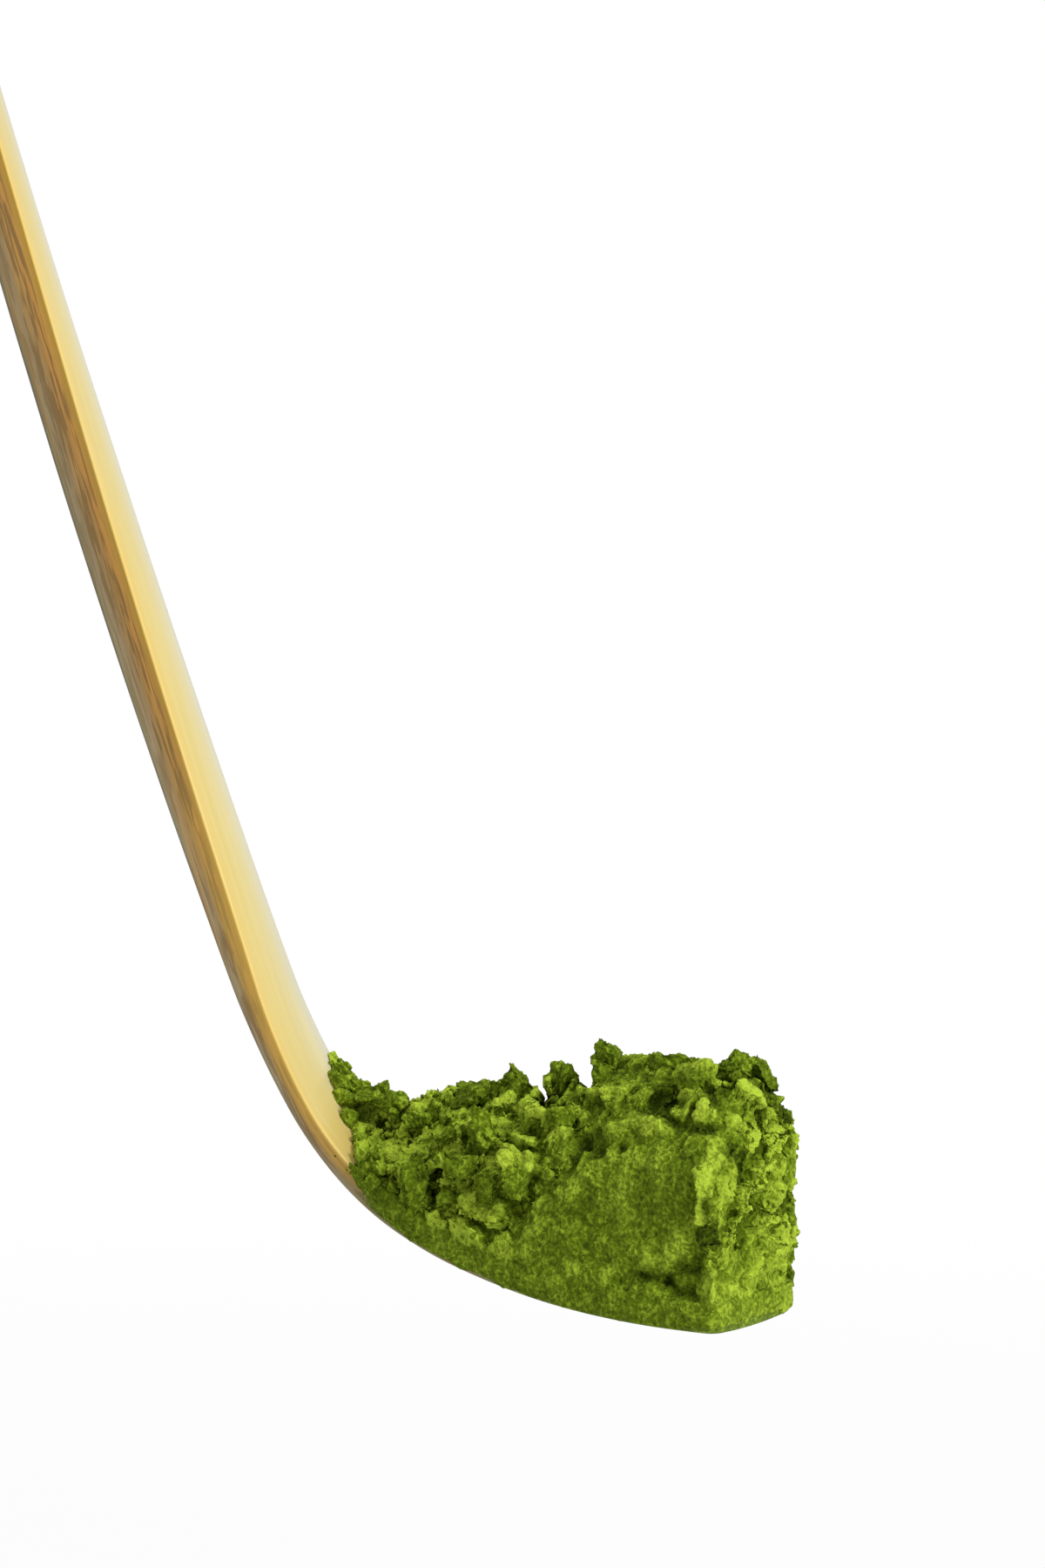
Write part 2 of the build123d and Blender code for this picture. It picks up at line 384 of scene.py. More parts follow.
strip = {
    # legs from the tip: length, turn in degrees
    "legs": ((18.4, 13.2), (6.0, 7.9), (11.0, 32.1), (9.0, 13.2), (66.0, 3.0), (71.35, 0.0)),
    "tipTilt": 0.3,
    "gripFromTip": 135.4,
    "handleThickness": 3.1,
    "smallSteps": 40000,  # in which the side line is added up
    # from the tip: place, width, thickness, dish (below zero a crown), twist in degrees
    "knots": ((0.0, 10.0, 1.35, 0.05, 0.0), (1.8, 10.0, 1.40, 0.18, 0.0), (6.1, 10.0, 1.53, 0.36, 0.0),
              (12.3, 9.7, 1.66, 0.43, 0.0), (18.4, 8.6, 1.70, 0.39, 0.0), (21.4, 7.96, 1.70, 0.36, 0.0),
              (24.4, 7.24, 1.66, 0.29, 0.0), (28.0, 6.52, 1.58, 0.20, 0.0), (31.8, 5.98, 1.53, 0.12, 0.0),
              (35.4, 5.56, 1.60, 0.06, -0.5), (39.9, 5.2, 1.75, -0.05, -1.8), (44.4, 4.9, 2.02, -0.10, -3.6),
              (60.2, 4.48, 2.62, -0.13, -7.4), (80.7, 4.18, 2.95, -0.12, -12.6),
              (97.2, 4.0, 3.02, -0.12, -18.0), (113.2, 4.06, 3.08, -0.12, -21.7),
              (134.5, 4.12, 3.10, -0.12, -22.0), (158.0, 4.06, 3.10, -0.12, -22.0),
              (181.75, 3.88, 3.10, -0.12, -22.0)),
    "frontEdge": 0.17,
    "backEdge": 0.34,
    "belly": 0.08,
    "tipCorner": 0.8,
    "endChamfer": 0.35,
    "nodePlace": 117.4,
    "nodeRings": ((-0.55, 0.30, 0.42), (0.95, 0.16, 0.45)),  # from the node's place: offset, rise, half width
    "shaveWave": 0.03,  # height of the slow waves that a knife leaves
    "shaveFrom": (30, 50),  # they set in between these places
    "shaveLengths": (17.0, 23.0),  # in the width and in the thickness
    "loopPoints": (30, 5, 14, 22),  # on the front arc, a rounded edge, a side, the back arc
    "rowSteps": ((1.0, 0.30), (60, 0.55), (112, 0.15), (122, 0.6)),  # from this place on, a row at every step
    "cornerRows": 9,
    "tipRings": ((0.25, 0.25), (0.6, 0.6), (0.97, 0.9)),  # share of the tip's width and of its thickness
    "endRings": 8,
    "endRingStep": 0.17,
    "endMiddle": 0.05,  # share of the cut end that its last ring leaves
}
stripLength = sum(length for length, turn in strip["legs"])


def buildSideLine():
    # the front face seen from the side: its heading grows along each leg, and its place is the sum of small
    # steps; the line runs a little beyond both ends
    ends = np.cumsum([0.0] + [length for length, turn in strip["legs"]])
    headings = np.cumsum([strip["tipTilt"]] + [turn for length, turn in strip["legs"]])
    s = np.linspace(-3.0, stripLength + 1.0, strip["smallSteps"] + 1)
    heading = np.radians(np.interp(s, ends, headings))
    step = s[1] - s[0]
    x = np.concatenate([[0], np.cumsum(-np.cos((heading[1:] + heading[:-1]) / 2) * step)])
    z = np.concatenate([[0], np.cumsum(np.sin((heading[1:] + heading[:-1]) / 2) * step)])
    grip = np.interp(strip["gripFromTip"], s, heading)
    half = strip["handleThickness"] / 2
    x += sin(grip) * half - np.interp(strip["gripFromTip"], s, x)
    z += cos(grip) * half - np.interp(strip["gripFromTip"], s, z)
    return s, x, z, heading


sideLine = buildSideLine()
tip = np.array([np.interp(0, sideLine[0], sideLine[1]), 0, np.interp(0, sideLine[0], sideLine[2])])


def stripPlace(s, y, n):
    # strip coordinates (along from the tip, across, out of the front face) to the part's frame
    x = np.interp(s, sideLine[0], sideLine[1])
    z = np.interp(s, sideLine[0], sideLine[2])
    heading = np.interp(s, sideLine[0], sideLine[3])
    twist = np.radians(knotCurve(s, strip["knots"])[..., 3])
    out = np.stack([np.sin(heading), 0 * s, np.cos(heading)], -1)
    side = np.array([0, 1.0, 0])
    across = np.cos(twist)[..., None] * side + np.sin(twist)[..., None] * out
    face = np.cos(twist)[..., None] * out - np.sin(twist)[..., None] * side
    return np.stack([x, 0 * s, z], -1) + y[..., None] * across + n[..., None] * face


def stripLoop(half, thick, dish):
    # one turn round the strip: front arc, rounded edge, side, rounded back edge, back arc and the same again;
    # an arc is dish * (1 - x^2), with x from -1 to 1 across it
    a, c = strip["frontEdge"], strip["backEdge"]
    half, thick, dish = half[:, None], thick[:, None], dish[:, None]
    front, turn, wall, back = (np.linspace(0, 1, k, endpoint=False)[None] for k in strip["loopPoints"])
    flat, low = half - a, half - c
    belly = strip["belly"] + np.maximum(dish, 0)

    def quarter(middle, height, radius, first):
        sweep = np.radians(first - 90 * turn)
        return middle + radius * np.cos(sweep), height + radius * np.sin(sweep)

    parts = [
        (-flat + 2 * flat * front, -dish * (1 - (2 * front - 1) ** 2)),
        quarter(flat, -a + 0 * half, a, 90),
        (half + 0 * wall, -a - (thick - a - c) * wall),
        quarter(low, -thick + c, c, 0),
        (low - 2 * low * back, -thick - belly * (1 - (2 * back - 1) ** 2)),
        quarter(-low, -thick + c, c, -90),
        (-half + 0 * wall, -(thick - c) + (thick - a - c) * wall),
        quarter(-flat, -a + 0 * half, a, 180),
    ]
    return np.concatenate([p[0] for p in parts], 1), np.concatenate([p[1] for p in parts], 1)


def stripSizes(s):
    # half width, thickness and dish, with the slow waves that a knife leaves, and the rise of the node; its
    # rings rise by high * exp(-((s - place) / wide)^2), and the tip's corners are quarter circles
    size = knotCurve(s, strip["knots"])
    line = np.stack([s, 0 * s, 0 * s], -1)
    wave = smoothStep(*strip["shaveFrom"], s) * strip["shaveWave"]
    wideWave, thickWave = strip["shaveLengths"]
    half = size[:, 0] / 2 + wave * roughNoise(line, wideWave, 31)
    thick = size[:, 1] + wave * roughNoise(line, thickWave, 37)
    rise = sum(high * np.exp(-((s - strip["nodePlace"] - place) / wide) ** 2)
               for place, high, wide in strip["nodeRings"])
    corner = strip["tipCorner"]
    inside = np.clip(s, 0, corner)
    half = half - corner + np.sqrt(np.maximum(corner**2 - (corner - inside) ** 2, 0))
    return half + rise, thick + 2 * rise, size[:, 2], rise


def makeStrip():
    # rows along the strip, a loop round each; both ends close by rings that shrink to a middle point
    corner = strip["tipCorner"] * (1 - np.cos(np.linspace(0.12, pi / 2, strip["cornerRows"])))
    chamfer = strip["endChamfer"]
    stops = [place for place, step in strip["rowSteps"][1:]] + [stripLength - chamfer]
    s = np.concatenate([corner] + [np.arange(place, stop, step)
                                   for (place, step), stop in zip(strip["rowSteps"], stops)])
    half, thick, dish, rise = stripSizes(s)
    y, n = stripLoop(half, thick, dish)
    n = n + rise[:, None]
    # the cut end: its bevel, then rings that lie further and further in
    inset = np.concatenate([[0], chamfer + strip["endRingStep"] * np.arange(strip["endRings"])])[:, None]
    topY, topN = (row.mean() + (row - row.mean()) * np.maximum(1 - inset / reach, strip["endMiddle"])
                  for row, reach in ((y[-1], half[-1]), (n[-1], thick[-1] / 2)))
    topS = np.where(inset > 0, stripLength, stripLength - chamfer)
    wideShare, thickShare = np.transpose(strip["tipRings"])[..., None]
    along = np.concatenate([0 * wideShare, s[:, None], topS]) + np.zeros(y.shape[1])
    y = np.concatenate([y[0] * wideShare, y, topY])
    n = np.concatenate([n[0].mean() + (n[0] - n[0].mean()) * thickShare, n, topN])
    y, n, along = y[::-1], n[::-1], along[::-1]  # from the cut end to the tip, so that the faces look outward
    flat, faces = closedGrid(stripPlace(along, y, n))
    size = stripSizes(np.clip(along.ravel(), strip["tipCorner"], stripLength))
    wide, thick = (size[k].reshape(along.shape) for k in (0, 1))
    share = np.stack([np.clip(y / wide, -1, 1), np.clip(-n / thick, 0, 1), 0 * n], -1)
    return flat, faces, withEnds(np.stack([along, y, n], -1) * mm), withEnds(share)


bambooLook = {
    # noises drawn out along the strip: scale along it, scale across it, detail, roughness
    "noises": ((45.0, 6500.0, 3.0, 0.6), (60.0, 1300.0, 2.0, 0.5), (240.0, 4600.0, 2.0, 0.6)),
    # the skin, from the near edge across to the far one: its own yellow, with a painted highlight along the
    # near edge and a painted sheen that pales it towards the far edge
    "skin": ((0.0, 222, 190, 104), (0.08, 212, 186, 106), (0.25, 209, 188, 112), (0.45, 208, 191, 124),
             (0.70, 207, 195, 145), (0.88, 203, 198, 169), (1.0, 197, 195, 177)),
    # the cut side, from the skin down to the back: golden, then brown, then grey
    "flesh": ((0.0, 208, 174, 76), (0.07, 158, 127, 40), (0.18, 180, 136, 52), (0.30, 182, 130, 58),
              (0.44, 152, 117, 60), (0.60, 156, 132, 90), (0.76, 160, 144, 110), (0.90, 152, 142, 110),
              (1.0, 116, 108, 80)),
    # what a noise lays over them: the noise where it sets in and is full, least, most, colour
    "skinFibre": (0.40, 0.75, 0.0, 0.16, (196, 166, 88)),
    "skinBroad": (0.35, 0.7, 0.0, 0.18, (222, 210, 150)),
    "fleshFibre": (0.35, 0.75, 0.0, 0.28, (140, 104, 58)),
    "fleshBroad": (0.48, 0.7, 0.0, 0.45, (184, 139, 64)),
    # the dark bundles of fibres in the cut side, and the shares of its depth between which they come and go
    "bundles": (0.45, 0.57, 0.0, 0.85),
    "bundleColour": (116, 88, 42),
    "bundlesFrom": (0.14, 0.28),
    "bundlesFade": (0.95, 0.50, 0.35, 1.0),
    # tints of the cut side, more golden near the bend and greyer at the back further up: millimetres from the
    # tip where they set in and are full, least, most; the same in shares of its depth; colour
    "tints": (((64, 46, 0.0, 0.34), (0.66, 0.40), (226, 186, 80)),
              ((55, 85, 0.0, 0.32), (0.48, 0.66), (84, 72, 40))),
    "edge": (0.02, 0.22),  # millimetres below the skin where it turns into the cut side
    "bumpStrength": 0.35,
    "bumpDepth": 0.05 * mm,
    "relief": (0.6, -0.8),  # share of the fibres and of the bundles in the bump
    "roughness": (0.34, 0.22, 0.95),  # of the skin, what the cut side adds, of the dust
    "specular": 0.4,
    "stain": 0.6,
    "stainColour": (112, 104, 46),
    "speck": (5200.0, 3.0, 0.7),  # noise that breaks the dust into grains
    "dustTone": 0.42,
    "dustStart": 0.55,
    "dustEdge": (0.42, 0.62),
}


def bambooMaterial():
    look = bambooLook
    material, tree, shader = newMaterial("bambooSkin")

    def placeOf(name):
        # an attribute of the strip and its three parts
        whole = newNode(tree, "ShaderNodeAttribute", attribute_name=name).outputs["Vector"]
        return whole, feed(tree, newNode(tree, "ShaderNodeSeparateXYZ"), {"Vector": whole}).outputs

    def drawnOut(lengthScale, acrossScale, detail, roughness):
        node = newNode(tree, "ShaderNodeMapping")
        feed(tree, node, {"Vector": grain, "Scale": (lengthScale, acrossScale, acrossScale)})
        return noiseNode(tree, node.outputs["Vector"], 1.0, detail, roughness)

    def layOver(colour, noise, key):
        *spread, tint = look[key]
        return mixColour(tree, mapRange(tree, noise, *spread), colour, srgb(*tint))

    grain, parts = placeOf("strip")
    along, out = parts[0], parts[2]
    acrossShare, depthShare = placeOf("share")[1][:2]
    fibre, broad, dash = (drawnOut(*settings) for settings in look["noises"])
    acrossShare = mapRange(tree, acrossShare, -1.0, 1.0, smooth=False)
    # the skin's ramp holds a painted highlight by the near edge and a painted sheen towards the far edge
    skin = rampNode(tree, acrossShare, look["skin"])
    skin = layOver(skin, fibre, "skinFibre")
    skin = layOver(skin, broad, "skinBroad")
    flesh = rampNode(tree, depthShare, look["flesh"])
    flesh = layOver(flesh, fibre, "fleshFibre")
    flesh = layOver(flesh, broad, "fleshBroad")
    inner = mathNode(tree, "MULTIPLY", mapRange(tree, depthShare, *look["bundlesFrom"]),
                     mapRange(tree, depthShare, *look["bundlesFade"]))
    bundles = mathNode(tree, "MULTIPLY", mapRange(tree, dash, *look["bundles"]), inner)
    flesh = mixColour(tree, bundles, flesh, srgb(*look["bundleColour"]))
    for (start, full, *strength), depths, tint in look["tints"]:
        share = mathNode(tree, "MULTIPLY", mapRange(tree, along, start * mm, full * mm, *strength),
                         mapRange(tree, depthShare, *depths))
        flesh = mixColour(tree, share, flesh, srgb(*tint))
    depth = mathNode(tree, "MULTIPLY", out, -1 / mm)  # millimetres below the skin
    edge = mapRange(tree, depth, *look["edge"])
    colour = mixColour(tree, edge, skin, flesh)
    fibreShare, bundleShare = look["relief"]
    height = mathNode(tree, "MULTIPLY", bundles, bundleShare)
    height = mathNode(tree, "MULTIPLY_ADD", fibre, fibreShare, height)
    bump = bumpNode(tree, height, look["bumpStrength"], look["bumpDepth"])

    dust = newNode(tree, "ShaderNodeAttribute", attribute_name="dust").outputs["Fac"]
    place = newNode(tree, "ShaderNodeTexCoord").outputs["Object"]
    group = placeGroup(tree, matcha, Vector=place, Relief=look["dustTone"])
    speck = noiseNode(tree, place, *look["speck"])
    spread = mathNode(tree, "ADD", speck, mathNode(tree, "SUBTRACT", dust, look["dustStart"]))
    mask = mapRange(tree, spread, *look["dustEdge"])
    stain = mathNode(tree, "MULTIPLY", dust, look["stain"])
    colour = mixColour(tree, stain, colour, srgb(*look["stainColour"]))
    colour = mixColour(tree, mask, colour, group.outputs["Color"])
    skinRough, fleshRough, dustRough = look["roughness"]
    rough = mathNode(tree, "MULTIPLY_ADD", edge, fleshRough, skinRough)
    rough = mathNode(tree, "MAXIMUM", rough, mathNode(tree, "MULTIPLY", mask, dustRough))
    feed(tree, shader, {"Base Color": colour, "Roughness": rough, "Normal": bump,
                        "Specular IOR Level": look["specular"]})
    return material


dusting = {
    # places from the tip between which it thins away: on the walls and back, on the rim, on the front face
    "wallFade": (23.5, 32.5),
    "rimFade": (21.0, 26.0),
    "faceFade": (25, 33),
    # heights over the front face: below the first are the walls, and the others bound where it sets in
    "wallTop": -0.2,
    "faceHeights": (-0.30, -0.05),
    "backHeights": (-1.2, -1.5),
    "backLess": 0.25,  # how much of it is missing on the back
    # low on the walls, mostly stained and with few grains: shares of the depth, places, how much is missing
    "lowDepths": (0.70, 0.92),
    "lowPlaces": (8.0, 20.0),
    "lowLess": 0.4,
}


def spreadDust(along, out, depth):
    # the larger one of two: the walls' dust, less on the back and low on the walls, and the front face's
    walls, rim, face = (1 - smoothStep(*dusting[key], along) for key in ("wallFade", "rimFade", "faceFade"))
    walls = np.where(out < dusting["wallTop"], walls, rim)
    walls = walls * (1 - dusting["backLess"] * smoothStep(*dusting["backHeights"], out))
    low = smoothStep(*dusting["lowDepths"], depth) * smoothStep(*dusting["lowPlaces"], along)
    walls = walls * (1 - dusting["lowLess"] * low)
    return np.maximum(walls, smoothStep(*dusting["faceHeights"], out) * face)


bamboo = bambooMaterial()
points, faces, local, share = makeStrip()
dust = spreadDust(local[:, 0] / mm, local[:, 2] / mm, share[:, 1])
values = {"strip": local, "share": share, "dust": dust}
scoopPiece = makeMesh("bamboo_scoop", points, faces, bamboo, "scoop", values)
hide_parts("scoop")


# How powder crumbles, on any closed-round grid of points

crumbs = {
    # size of a cell, how far it stands out, leans and bulges, depth and width of the crack round it, seed
    "clods": (2.9, 1.1, 1.1, 0.22, 0.75, 0.36, 3),
    "lumps": (1.25, 0.30, 0.36, 0.16, 0.20, 0.38, 19),
    "grains": (0.46, 0.13, 0.16, 0.10, 0.09, 0.40, 37),
    "pressed": {"clods": 0.0, "lumps": 0.12, "grains": 0.55},  # what is left of each on pressed powder
    "warp": 0.30,  # shares of a cell's size: how far its edges are bent, and by how large a noise
    "warpSize": 0.6,
    "middleMark": 0.45,  # a cell with a higher number stands out, one with a lower number lies deep
    "round": 0.6,  # how much it falls off from its middle
    "cavityReach": 7,  # grid points over which the relief is compared with its surroundings
    # how strongly painted shade darkens the hollows and painted light lightens what stands out
    "cavityShade": 0.88,
}


def crumble(points, level, strength):
    # every cell of a cell noise is a clod: it stands out by its own number, leans by its own tilt, falls off
    # with the square of the way from its middle and bulges over its neighbours, and a crack runs round it
    size, stand, lean, bulge, crack, gap, seed = level
    normal = gridNormals(points)
    bent = points + crumbs["warp"] * size * offsetNoise(points, crumbs["warpSize"] * size, seed + 20)
    lead, way, mark, tilt = clodNoise(bent, size, seed)
    flat = way - (way * normal).sum(-1, keepdims=True) * normal
    body = smoothStep(0.0, gap, lead)
    height = stand * (mark - crumbs["middleMark"]) + lean * (tilt * flat).sum(-1) / size
    height = height - crumbs["round"] * stand * (flat**2).sum(-1) / size**2
    height = body * height - (1 - body) * crack
    move = normal * height[..., None] + bulge * body[..., None] * flat
    return points + strength[..., None] * move, strength * height


def roughen(points, crumbly, keep):
    # clods, then lumps on the clods, then grains on the lumps; the tone is 0.5 plus a share of how far each
    # point stands above the mean of its surroundings: painted light on what stands out, painted shade in
    # hollows
    total = 0
    for level, least in crumbs["pressed"].items():
        points, height = crumble(points, crumbs[level], (least + (1 - least) * crumbly) * keep)
        total = total + height
    cavity = total - blurGrid(total, crumbs["cavityReach"])
    return points, np.clip(0.5 + crumbs["cavityShade"] * cavity, 0, 1)


# The heap of powder on the bowl

heap = {
    # from the tip: place, near foot, then across and up of the near shoulder, the crest and the far shoulder;
    # across is a share of the half width
    "knots": ((0.15, -1.0, -0.93, 8.0, 0.20, 12.5, 0.95, 10.7),
              (1.8, -1.0, -0.89, 8.9, 0.15, 14.0, 0.94, 12.5),
              (6.0, -1.0, -0.86, 8.7, 0.10, 14.1, 0.93, 12.5),
              (12.0, -1.0, -0.86, 7.6, 0.10, 13.2, 0.93, 11.7),
              (18.0, -1.0, -0.88, 5.9, 0.10, 10.9, 0.93, 9.5), (21.0, -1.0, -0.90, 5.1, 0.10, 9.4, 0.93, 8.4),
              (24.0, -1.0, -0.92, 3.9, 0.15, 7.6, 0.93, 6.8), (27.6, -0.95, -0.86, 1.9, 0.20, 5.2, 0.95, 4.7),
              (30.2, -0.62, -0.50, 0.7, 0.35, 3.8, 0.95, 3.5), (32.6, 0.05, 0.15, 0.5, 0.55, 2.6, 0.95, 2.3),
              (35.5, 0.42, 0.50, 0.35, 0.72, 1.3, 0.95, 1.0),
              (38.4, 0.78, 0.82, 0.12, 0.90, 0.35, 0.97, 0.25)),
    "seat": 0.12,  # how far its floor stays off the bowl
    "proud": 0.16,  # how far its walls stand out beyond the bowl's
    "wallMiddle": (0.45, 0.55),  # shares of the foot and of the near shoulder in the point between them
    "wallBulge": 1.01,
    "loopKnots": (0, 0.2, 0.38, 0.56, 0.72, 0.86, 1.0),  # where those points lie on the way round
    "roundPoints": 250,
    "floorPoints": 20,
    "far": 38.3,  # place of its first row
    "rows": 0.125,
    "rowsTo": 0.4,
    "lastRows": (0.3, 0.2, 0.1, 0.02),
    # the end bulges by capDepth, over rows that shrink round its middle
    "capRows": 61,
    "capLeft": 0.03,
    "capMiddle": 6.0,
    "capDepth": 0.12,
    # how crumbly along the slanting level line: looser towards the bend, firm at the tip
    "loose": ((-30, 1.0), (-14, 0.95), (-8, 0.66), (0, 0.60), (3, 0.55)),
    # below this line the powder is pressed smooth: place along a slanting level line, height
    "slant": radians(33),
    "smoothBelow": ((-30, 0.0), (-16.7, 2.2), (-15.2, 3.5), (-11.4, 8.3), (-8.4, 10.4), (-3.8, 10.8),
                    (-1, 9.4), (3, 9.0)),
    "smoothEdge": 1.6,  # half the band over which it turns crumbly
    "smoothWaver": (1.4, 3.0, 61),  # how far a noise bends that line, then its size and seed
    "tornEnd": 0.26,  # how crumbly the end is at least, and the places between which that comes
    "tornPlaces": (4.0, 0.0),
    # the relief fades towards the bowl and towards the bend: heights over the bowl, then shares of the relief
    # and the places from which they are full; the floor begins at a place from the tip
    "seatFade": (0.1, 1.0),
    "farFades": ((0.75, 35.0), (0.25, 37.8)),
    "floorFrom": 0.14,
    "waver": 0.55,  # how far a noise bends the strokes, and its size
    "waverSize": 1.1,
    # swellings by noise: height, then size, seed and octaves
    "ridges": (0.75, 1.7, 71, 3),  # torn and slanting, on the end face
    "small": (0.20, 1.3, 75, 3),
    "wide": (0.2, 5.0, 21, 2),
    "ridgeLean": radians(33),
    "ridgeStretch": 0.72,  # from 0, as wide as long, to 1, drawn out without end
    "ridgePlaces": (3.0, 0.0),  # they set in between these places and these heights
    "ridgeHeights": (0.3, 3.2),
    "standingReach": 22,  # grid points over which the relief is compared with its surroundings
    # where the relief stands out it gets painted light, and its hollows get painted shade
    "standingLightShade": (0.65, 0.35),  # how much that lightens it, and how much more at the end
    "standingLightShadeEnd": (2.0, 0.0),
    # painted light brightens the crumbly part by the bend between two places on the slanting level line, and
    # the more so the higher: least, how much more, between which heights
    "paintedLightLeft": 0.42,
    "paintedLightSlant": (-12, -18),
    "paintedLightUp": (0.6, 0.75, 5.0, 8.0),
    # painted light that brightens the end at the tip, and the places between which it sets in
    "paintedLightEnd": 0.15,
    "paintedLightEndPlaces": (1.5, 0.0),
    "hollows": (-0.3, -0.05),  # loose clods don't lie where the relief is below these
    # strokes of relief, from the tip: both ends, reach, how far out (below zero a hollow)
    "strokes": (
        # the crest: the notch and the dips between its clods run along one slanting line, then its swellings
        (-15.2, -1.0, 13.9, -18.9, 4.7, 13.6, 0.55, -2.2), (-15.2, -1.0, 12.9, -18.9, 4.7, 12.4, 0.50, -1.6),
        (-15.2, -1.0, 12.0, -18.9, 4.7, 11.4, 0.50, -1.4), (0.3, 3.8, 9.6, 0.3, 4.3, 8.0, 0.90, -0.7),
        (-11.9, -1.0, 13.4, -15.5, 4.6, 12.6, 0.50, -1.6), (-13.5, 0.0, 13.0, -13.0, 2.0, 13.0, 1.6, -0.4),
        (-24.4, 1.8, 9.6, -23.2, 2.8, 10.0, 1.4, 2.0), (-21.0, 1.8, 11.0, -20.0, 2.6, 11.4, 1.6, 0.5),
        (-2.4, 0.2, 13.8, -2.4, 1.4, 13.8, 0.70, -0.9), (-1.2, 4.4, 12.0, -0.5, 4.4, 12.0, 0.70, -0.7),
        # hollows in the near side
        (-6.0, -1.8, 12.8, -5.5, -1.9, 11.9, 0.75, -1.0), (-5.0, -1.7, 12.3, -4.8, -2.0, 11.4, 0.60, -0.9),
        (-10.0, -4.4, 10.0, -7.6, -4.4, 9.7, 0.65, -1.0), (-10.0, -4.4, 10.0, -11.1, -4.6, 8.3, 0.55, -1.0),
        (-19.7, -2.9, 9.0, -19.7, -3.1, 8.3, 0.60, -1.3), (-21.6, -3.8, 6.7, -21.7, -4.0, 5.2, 0.50, -1.3),
        (-29.8, 0.5, 9.5, -27.6, 0.6, 9.3, 0.35, -0.9), (-5.6, -5.2, 1.3, -3.5, -5.2, 1.7, 0.45, -0.55),
        (-3.5, -5.2, 1.7, -1.6, -5.2, 2.5, 0.65, -0.45), (-1.6, -5.2, 2.5, -0.6, -5.2, 4.0, 0.85, -0.45),
        (-3.2, -5.2, 1.4, -1.6, -5.2, 1.0, 0.35, -0.50),
        # the near corner of the end and the torn ridges and hollows of its face
        (0.0, -4.6, 9.6, -0.9, -5.1, 7.9, 0.60, 0.5), (-0.9, -5.1, 7.9, -1.1, -5.2, 5.6, 0.60, 0.5),
        (0.1, 1.8, 9.7, 0.2, -0.8, 7.3, 0.50, 0.95), (0.2, -0.8, 7.3, 0.2, -2.1, 6.2, 0.40, 0.5),
        (0.2, 0.3, 5.4, 0.2, 1.2, 3.5, 0.50, 0.95), (0.2, 1.2, 3.5, 0.2, -0.4, 1.2, 0.55, 0.65),
        (0.1, 3.6, 4.0, 0.1, 3.2, 1.6, 1.20, 0.3), (-4.7, -5.1, 3.3, -4.3, -5.1, 2.2, 0.80, 0.4),
        (0.0, -2.7, 9.8, 0.0, -1.6, 8.3, 0.75, -0.7), (0.1, -0.9, 5.9, 0.1, -1.3, 4.2, 0.60, -0.7),
        (0.1, 4.2, 5.7, 0.1, 4.3, 4.2, 0.50, -0.5), (0.0, -3.0, 5.6, -0.2, -4.4, 3.4, 0.90, -0.7),
        (0.0, -5.0, 4.9, 0.0, -5.0, 2.9, 0.60, -0.8),
    ),
}


def heapLoop(row, half, dish):
    # up the near wall, over the crest and down the far wall by a cubic through seven points, then back along
    # the bowl: its dish * (1 - x^2), with x from -1 to 1 across it
    foot, nearAcross, nearUp, crestAcross, crestUp, farAcross, farUp = row.T
    wide = half + heap["proud"]
    seat = heap["seat"] + 0 * wide
    footShare, shoulderShare = heap["wallMiddle"]
    lowWall = (footShare * foot + shoulderShare * nearAcross) * wide * heap["wallBulge"]
    y = [foot * wide, lowWall, nearAcross * wide, crestAcross * wide, farAcross * wide, wide, wide]
    n = [seat, 0.5 * nearUp, nearUp, crestUp, farUp, 0.5 * farUp, seat]
    knots = np.array(heap["loopKnots"])[:, None]
    curve = knotCurve(np.linspace(0, 1, heap["roundPoints"]), np.concatenate([knots, y, n], 1))
    topY, topN = curve[:, :len(row)].T, curve[:, len(row):].T
    back = np.linspace(1, 0, heap["floorPoints"] + 2)[1:-1]
    floorY = topY[:, :1] + (topY[:, -1:] - topY[:, :1]) * back
    share = np.clip(floorY / half[:, None], -1, 1)
    floorN = heap["seat"] - dish[:, None] * (1 - share**2)
    return np.concatenate([topY, floorY], 1), np.concatenate([topN, floorN], 1)


def heapBlock():
    # rows along the strip from the bend to the tip; the tip end closes by rows that shrink to the middle
    s = np.concatenate([np.arange(heap["far"], heap["rowsTo"], -heap["rows"]), heap["lastRows"]])
    half, thick, dish, rise = stripSizes(np.maximum(s, strip["tipCorner"]))
    y, n = heapLoop(knotCurve(s, heap["knots"]), half, dish)
    along = np.repeat(s[:, None], y.shape[1], 1)
    shrink = np.linspace(1, heap["capLeft"], heap["capRows"] + 1)[1:, None]
    capN = heap["capMiddle"] + (n[-1] - heap["capMiddle"]) * shrink
    capS = np.broadcast_to(s[-1] - heap["capDepth"] * np.sqrt(1 - shrink**2), capN.shape)
    return np.concatenate([along, capS]), np.concatenate([y, y[-1] * shrink]), np.concatenate([n, capN])


def addStrokes(base, normal):
    # each stroke pushes out by its depth times exp(-(distance to the stroke / reach)^2)
    relief = np.zeros(base.shape[:2])
    bent = base - tip + heap["waver"] * offsetNoise(base, heap["waverSize"], 51, 5, roughNoise)
    for *ends, reach, depth in heap["strokes"]:
        first = np.array(ends[:3])
        run = ends[3:] - first
        share = np.clip((bent - first) @ run / (run @ run), 0, 1)
        away = bent - first - share[..., None] * run
        push = depth * np.exp(-(away**2).sum(-1) / reach**2)
        relief = relief + push
        base = base + normal * push[..., None]
    return base, relief


